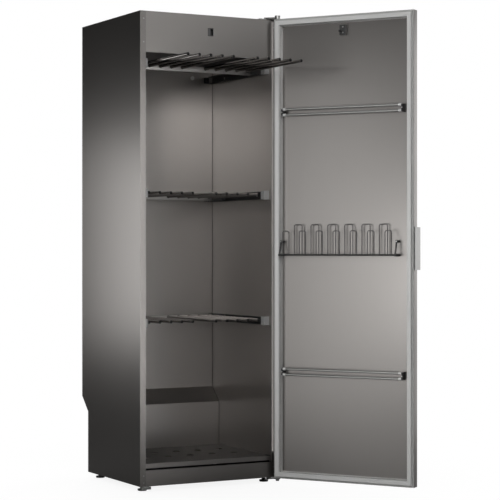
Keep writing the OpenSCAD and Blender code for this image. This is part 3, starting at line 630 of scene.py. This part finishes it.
# ---------- fan compartment ----------
# Hidden behind the fascia: the scroll housing with its motor and wheel, the heater in its duct,
# the thermostat, the control box with its board, the terminals and the exhaust duct.
dark_moulding = moulded("fan_housing_plastic", (0.07, 0.072, 0.075), 0.5)
board = moulded("green_board", (0.03, 0.16, 0.06), 0.3, grain=300)
mineral = moulded("mineral_wool", (0.55, 0.48, 0.33), 0.95, grain=120, depth=0.001)
grey_box = moulded("grey_box_plastic", (0.45, 0.45, 0.43), 0.5)
element = brushed("heater_alloy", (0.42, 0.26, 0.16), 0.5, along=(60, 60, 60))
inside = (("fan_housing", dark_moulding), ("fan_motor", zinc), ("fan_wheel", black_plastic),
          ("heater_duct", zinc), ("heater_element", element), ("thermostat", grey_box),
          ("control_box", grey_box), ("circuit_board", board), ("terminal_block", grey_box),
          ("exhaust_duct", rear_steel), ("wall_insulation", mineral), ("door_insulation", mineral))
for node, material in inside:
    paint_node(node, material)

# ---------- door ----------
# A folded outer sheet and an inner one, pressed in behind a border. Everything on the door is made
# with the door shut, and turned open about the hinge.
hinge = at(585, -22, 0)
opened = (Matrix.Translation(hinge) @ Matrix.Rotation(math.radians(123.4), 4, "Z")
          @ Matrix.Translation(-hinge))
door_left, door_right, door_top = 1.5, 593.5, 1805
border, recess = 27, 20


def choose(piece, test):
    """Edit mode, with those faces selected whose centre and normal pass."""
    only(piece)
    bpy.ops.object.mode_set(mode="EDIT")
    bpy.ops.mesh.select_mode(type="FACE")
    bpy.ops.mesh.select_all(action="DESELECT")
    bpy.ops.object.mode_set(mode="OBJECT")
    for face in piece.data.polygons:
        face.select = test(face.center, face.normal)
    bpy.ops.object.mode_set(mode="EDIT")


def every_face(centre, normal):
    return True


door_steel = brushed("brushed_door_steel", (0.27, 0.257, 0.246), 0.35)
install(eased_copy("door_outer_panel", "door_outer_sheet", 0.0009, 3), "door", "door_steel", shell_steel,
        "door_outer_panel")

low, high = at(door_left, -10, 0), at(door_right, -10, door_top)
bpy.ops.object.select_all(action="DESELECT")
bpy.ops.mesh.primitive_plane_add(size=1, location=(low + high) / 2, rotation=(-math.pi / 2, 0, 0))
pan = bpy.context.object
pan.name = "door_inner_sheet"
pan.scale = (high.x - low.x, high.z - low.z, 1)
bpy.ops.object.transform_apply(location=True, rotation=True, scale=True)
choose(pan, every_face)
bpy.ops.mesh.inset(thickness=border / 1000, depth=0)
bpy.ops.mesh.extrude_region_move(TRANSFORM_OT_translate={"value": (0, -recess / 1000, 0)})
bpy.ops.object.mode_set(mode="OBJECT")
ease(pan, 0.0028, 4)
wall = pan.modifiers.new("wall", "SOLIDIFY")
wall.thickness = 0.0009
wall.offset = -1
bpy.ops.object.modifier_apply(modifier="wall")
pan.data.transform(opened)
install(pan, "door", "door_steel", door_steel, "door_inner_panel")


# ---------- door gasket ----------
# A pale rubber frame with mitred corners: two lips with a groove between them, on a foot that is
# pressed into the border. A grey trim runs outside it and a pale skirt lines the recess's walls.
def picture_frame(name, low, high, wide):
    """A flat frame of four mitred strips facing +Y, wide inside that rectangle."""
    bpy.ops.object.select_all(action="DESELECT")
    bpy.ops.mesh.primitive_plane_add(size=1, location=(low + high) / 2, rotation=(-math.pi / 2, 0, 0))
    made = bpy.context.object
    made.name = name
    made.scale = (high.x - low.x, high.z - low.z, 1)
    bpy.ops.object.transform_apply(location=True, rotation=True, scale=True)
    choose(made, every_face)
    bpy.ops.mesh.inset(thickness=wide, depth=0)
    bpy.ops.mesh.delete(type="FACE")
    bpy.ops.object.mode_set(mode="OBJECT")
    return made


def raised(piece, height):
    """Thickens a flat frame to that height along +Y, as one closed piece."""
    choose(piece, every_face)
    bpy.ops.mesh.extrude_region_move(TRANSFORM_OT_translate={"value": (0, height, 0)})
    bpy.ops.mesh.select_all(action="SELECT")
    bpy.ops.mesh.normals_make_consistent(inside=False)
    bpy.ops.object.mode_set(mode="OBJECT")


low, high = at(door_left + 8, -10, 8), at(door_right - 8, -10, door_top - 8)
gasket = picture_frame("door_seal", low, high, 0.0175)
choose(gasket, every_face)
bpy.ops.mesh.extrude_region_move(TRANSFORM_OT_translate={"value": (0, 0.0035, 0)})
bpy.ops.mesh.inset(thickness=0.0008, depth=0)
bpy.ops.mesh.extrude_region_move(TRANSFORM_OT_translate={"value": (0, 0.006, 0)})
bpy.ops.mesh.inset(thickness=0.0016, depth=0)
bpy.ops.mesh.inset(thickness=0.0008, depth=-0.0006)
bpy.ops.object.mode_set(mode="OBJECT")
only(gasket)
bpy.ops.object.mode_set(mode="EDIT")
bpy.ops.mesh.select_all(action="SELECT")
bpy.ops.mesh.normals_make_consistent(inside=False)
bpy.ops.object.mode_set(mode="OBJECT")
ease(gasket, 0.0007, 2, 40)
gasket.data.transform(opened)
trim = picture_frame("border_trim", at(door_left + 0.6, -10, 0.6),
                     at(door_right - 0.6, -10, door_top - 0.6), 0.0072)
raised(trim, 0.0012)
ease(trim, 0.0004, 2, 40)
trim.data.transform(opened)
skirt = picture_frame("recess_skirt", at(door_left + border + 0.1, -10, border + 0.1),
                      at(door_right - border - 0.1, -10, door_top - border - 0.1), 0.0009)
raised(skirt, 0.0008 - recess / 1000)
skirt.data.transform(opened)
trim_plastic = moulded("grey_border_trim", (0.45, 0.45, 0.44), 0.45, grain=400, depth=0.00001)
install(trim, "door", "gasket_rubber", trim_plastic)
seal_rubber = moulded("pale_seal_rubber", (0.7, 0.7, 0.69), 0.5, grain=400, depth=0.00001)
install(gasket, "door", "gasket_rubber", seal_rubber, "door_gasket")
install(skirt, "door", "gasket_rubber", seal_rubber)

# ---------- hinge bushes ----------
# Moulded sleeves in the door's top and bottom that turn on the pins.
low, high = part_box("hinge_bushes")
sleeve = [(0, 0.00405), (0, 0.0079), (0.0003, 0.0084), (0.001, 0.0084), (0.001, 0.007), (0.021, 0.007),
          (0.0215, 0.0065), (0.0215, 0.00405), (0, 0.00405)]
bottom_bush = turned("bottom_bush", sleeve, (hinge.x, hinge.y, low.z), (0, 0, 1), 48)
top_bush = turned("top_bush", sleeve, (hinge.x, hinge.y, high.z), (0, 0, -1), 48)
sleeves = join(bottom_bush, top_bush)
sleeves.name = "hinge_sleeves"
install(sleeves, "door", "light_plastic", white_plastic, "hinge_bushes")

# ---------- latch block ----------
# The black block inside the door top: a tongue that goes into the strike and two screws.
centre_u, centre_z = 300, 1746
body = block("latch_body", at(centre_u - 13, -30, centre_z - 19.5), at(centre_u + 13, -14, centre_z + 19.5))
ease(body, 0.0015, 3)
tongue = block("latch_tongue", at(centre_u + 2.5, -15, centre_z - 12), at(centre_u + 8, 8, centre_z))
choose(tongue, lambda centre, normal: normal.y > 0.9)
bpy.ops.transform.resize(value=(0.6, 1, 0.7), center_override=at(centre_u + 5.2, 8, centre_z - 6))
bpy.ops.object.mode_set(mode="OBJECT")
ease(tongue, 0.0008, 2)
join(body, tongue).data.transform(opened)
latch_plastic = moulded("latch_plastic", (0.05, 0.05, 0.05), 0.4)
install(body, "door", "dark_plastic", latch_plastic, "latch_block")

# ---------- towel rails ----------
# Two rails of two bright bars each, held at both ends in black brackets, with a bright collar
# where each bar goes in.
bright = brushed("bright_bar_steel", (0.42, 0.42, 0.41), 0.34, depth=0.000005, along=(20, 400, 400))
ends = [at(50, -6, z + side * 11) for z in (420, 1437) for side in (-1, 1)]
one_bar = turned("towel_bar", [(0, 0.0045), (0.502, 0.0045)], (0, 0, 0), (1, 0, 0), 32)
bars = repeat(one_bar, ends, "towel_rail_bars")
bars.data.transform(opened)
install(bars, "door", "bright_bar", bright, "towel_bars")
collar = turned("bar_collar", [(0, 0.0046), (0, 0.0056), (0.0003, 0.0059), (0.0112, 0.0059), (0.012, 0.0052),
                (0.012, 0.0046), (0, 0.0046)], (0, 0, 0), (1, 0, 0), 32)
collars = repeat(collar, [end + Vector((x, 0, 0)) for end in ends for x in (0.0002, 0.4898)],
                 "bar_collars")
collars.data.transform(opened)
pale_metal = moulded("pale_collar_metal", (0.72, 0.72, 0.71), 0.35, grain=300, depth=0.00001, Metallic=0.4)
install(collars, "door", "bright_bar", pale_metal)
bracket = block("towel_bracket", at(44, -30, -16), at(50, -0.5, 16))
choose(bracket, lambda centre, normal: normal.y > 0.9)
bpy.ops.transform.resize(value=(1, 1, 0.8), center_override=at(47, -0.5, 0))
bpy.ops.object.mode_set(mode="OBJECT")
ease(bracket, 0.0012, 3)
brackets = repeat(bracket, [Vector((x, 0, z)) for x in (0, 0.508) for z in (0.420, 1.437)],
                  "towel_rail_ends")
brackets.data.transform(opened)
install(brackets, "door", "dark_plastic", black_plastic, "towel_brackets")


# ---------- glove rack ----------
# Bent and welded wire: two long bars, a brace at each end, six tall hoops near the door and seven
# shorter ones in front, over which gloves and hats are pulled.
def bent_wire(name, points, radius, bend, sides=5):
    """A wire through those points, its corners bent to that radius."""
    path = [Vector(points[0])]
    for before, corner, after in zip(points, points[1:], points[2:]):
        corner = Vector(corner)
        into, out = (corner - Vector(before)).normalized(), (Vector(after) - corner).normalized()
        half = into.angle(out) / 2
        reach = bend * math.tan(half)
        hub = corner - into * reach + (out - into * into.dot(out)).normalized() * bend
        first = corner - into * reach - hub
        axis = into.cross(out).normalized()
        for i in range(7):
            path.append(hub + Matrix.Rotation(2 * half * i / 6, 3, axis) @ first)
    path.append(Vector(points[-1]))
    data = bpy.data.curves.new(name, "CURVE")
    data.dimensions = "3D"
    data.bevel_depth = radius
    data.bevel_resolution = sides
    data.use_fill_caps = True
    line = data.splines.new("POLY")
    line.points.add(len(path) - 1)
    for point, place in zip(line.points, path):
        point.co = (*place, 1)
    wire = bpy.data.objects.new(name, data)
    bpy.context.scene.collection.objects.link(wire)
    only(wire)
    bpy.ops.object.convert(target="MESH")
    wire = bpy.context.object
    bpy.ops.object.shade_smooth_by_angle(angle=math.radians(50))
    return wire


def hoop(wide, high):
    """A round-shouldered arch of wire, those sizes in millimetres over all."""
    half = (wide - 4) / 2000
    top = (high - 2) / 1000
    return bent_wire("hoop", [(-half, 0, 0.001), (-half, 0, top), (half, 0, top), (half, 0, 0.001)],
                     0.002, 0.007, 4)


wire_steel = brushed("dark_wire_steel", (0.15, 0.147, 0.145), 0.3, along=(200, 200, 200))
glove_u, glove_z, pitch = 316, 878, 72.4
tall = repeat(hoop(38, 120), [at(glove_u - 5.4 + (i - 2.5) * pitch, -17, glove_z)
                              for i in range(6)], "tall_hoops")
short = repeat(hoop(31, 95), [at(glove_u + (i - 3) * pitch, 8, glove_z)
                              for i in range(7)], "short_hoops")
join(tall, short)
tall.name = "glove_hoop_set"
tall.data.transform(opened)
install(tall, "door", "dark_wire", wire_steel, "glove_hoops")
reach = 245.2
parts = []
for out in (13, 38):
    parts.append(bent_wire("glove_bar", [at(glove_u - reach, out - 30, glove_z),
                 at(glove_u + reach, out - 30, glove_z)], 0.003, 0.004))
for side in (-1, 1):
    u = glove_u + side * reach
    parts.append(bent_wire("glove_brace", [at(u, 8, glove_z), at(u, -8, glove_z + 52)], 0.003, 0.005))
    for up, long in ((0, 41), (52, 26)):
        post = turned("glove_post", [(0, 0.005), (long / 1000 - 0.0008, 0.005), (long / 1000, 0.0042)],
                      at(u, -30, glove_z + up), (0, 1, 0), 24)
        parts.append(post)
glove_frame = join(*parts)
glove_frame.name = "glove_rack_frame"
glove_frame.data.transform(opened)
black_wire = moulded("black_coated_wire", (0.015, 0.015, 0.015), 0.4, grain=600, depth=0.00001)
install(glove_frame, "door", "dark_wire", black_wire, "glove_frame")

# ---------- fitting screws ----------
# Two screws in the latch block, one in each towel bracket and one in each post of the glove rack.
small = facing(cross_head("fitting_screw", 0.003, 0.0012, 0.0002), (0, 1, 0))
spots = [at(centre_u - 2, -14, centre_z + z) for z in (-10, 12)]
spots += [at(u, -0.5, z) for z in (420, 1437) for u in (47, 555)]
spots += [at(glove_u + side * reach, -4, glove_z + 52) for side in (-1, 1)]
screws = repeat(small, spots, "fitting_screw_heads")
screws.data.transform(opened)
install(screws, "door", "zinc_steel", zinc, "fitting_screws")

# ---------- door handle ----------
# A hooked pull of thick sheet: a leaf on the door's free edge that is carried round in front.
handle_metal = brushed("handle_alloy", (0.36, 0.357, 0.35), 0.45, along=(400, 400, 8))
install(eased_copy("door_handle", "edge_handle", 0.001, 3), "door", "handle_metal", handle_metal,
        "door_handle")

# ---------- control panel ----------
# A glossy black panel on the outside of the door, with a display window, the program knob and two
# buttons.
gloss_black = moulded("glossy_black_panel", (0.012, 0.012, 0.013), 0.12, grain=40, depth=0.000002)
install(eased_copy("control_panel", "control_fascia", 0.0006, 2), "door", "dark_plastic", gloss_black,
        "control_panel")
window = block("display_window", at(270, -42.6, 1545), at(330, -41.5, 1575))
ease(window, 0.0005, 2)
window.data.transform(opened)
glass = moulded("display_glass", (0.02, 0.035, 0.04), 0.08, grain=40, depth=0.000002)
install(window, "door", "dark_plastic", glass)
silver = moulded("silver_control_plastic", (0.42, 0.42, 0.41), 0.32, grain=700, Metallic=0.6)
knob = turned("program_dial", [(0, 0.019), (0.0015, 0.0192), (0.003, 0.0186), (0.0115, 0.0178),
              (0.0135, 0.0168), (0.0145, 0.015), (0.0146, 0.004)], (0, 0, 0), (0, -1, 0), 60)
knob.data.transform(Matrix.Translation(at(217.5, -42.5, 1560)))
shaft = turned("dial_shaft", [(0, 0.003), (0.0078, 0.003)], at(217.5, -43, 1560), (0, 1, 0), 24)
join(knob, shaft).data.transform(opened)
install(knob, "knob", "light_plastic", silver, "program_knob")
mark = block("dial_mark", at(216.8, -57.4, 1568), at(218.2, -56.9, 1575))
ease(mark, 0.0002, 1)
mark.data.transform(opened)
install(mark, "knob", "dark_plastic", black_plastic)
for body, u in (("start", 357.5), ("light", 387.5)):
    button = turned(body + "_key", [(0, 0.008), (0.0078, 0.008), (0.0087, 0.0074), (0.009, 0.0062),
                    (0.0086, 0.0015)], at(u, -37, 1560), (0, -1, 0), 40)
    button.data.transform(opened)
    install(button, body, "light_plastic", silver, body + "_button")


# ---------- racks ----------
# Ten dark steel tubes welded to a flat crossbar, plugged at their free ends; the crossbar's
# moulded shoes slide in the side rails.
tube_steel = brushed("dark_tube_steel", (0.14, 0.133, 0.127), 0.2, along=(300, 12, 300))
cross_steel = brushed("crossbar_steel", (0.46, 0.445, 0.43), 0.34, along=(12, 300, 300))
plug_black = moulded("plug_plastic", (0.01, 0.01, 0.01), 0.55, IOR=1.25)
for name, z, tip in (("upper", 1614, -290), ("middle", 1118, 46), ("lower", 620, 46)):
    body = name + "_rack"
    spots = [at(297.5 + side * (51 + 47.1 * i), tip, z) for side in (-1, 1) for i in range(5)]
    tube = turned("tube", [(0.002, 0.0051), (0.0004, 0.0053), (0, 0.0056), (0.0004, 0.006),
                  (0.426, 0.006), (0.4278, 0.0068), (0.429, 0.0074), (0.429, 0.0051), (0.002, 0.0051)],
                  (0, 0, 0), (0, 1, 0), 32)
    tubes = repeat(tube, spots, name + "_hanging_tubes")
    plug = turned("plug", [(0.0007, 0.0035), (0.0012, 0.005), (0.014, 0.005)], (0, 0, 0), (0, 1, 0), 28)
    plugs = repeat(plug, spots, name + "_tube_plugs")
    install(tubes, body, "rack_steel", tube_steel, name + "_rack_tubes")
    if name == "upper":
        install(plugs, body, "dark_plastic", plug_black, "upper_rack_plugs")
    else:
        install(plugs, body, "dark_plastic", plug_black)
    low, high = at(42.3, tip + 429, z - 16), at(552.7, tip + 437, z + 8)
    bar = ease(block(name + "_cross_tube", low, high), 0.0016, 3)
    install(bar, body, "rack_bar_steel", cross_steel, name + "_rack_crossbar")
    shoes = []
    for low_u, high_u in ((25.4, 42), (553, 569.6)):
        shoe = block("shoe", at(low_u, tip + 337, z - 16.6), at(high_u, tip + 437, z + 9.6))
        shoes.append(ease(shoe, 0.002, 3))
    slide = join(*shoes)
    slide.name = name + "_slide_shoes"
    install(slide, body, "dark_plastic", black_plastic)

low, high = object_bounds()
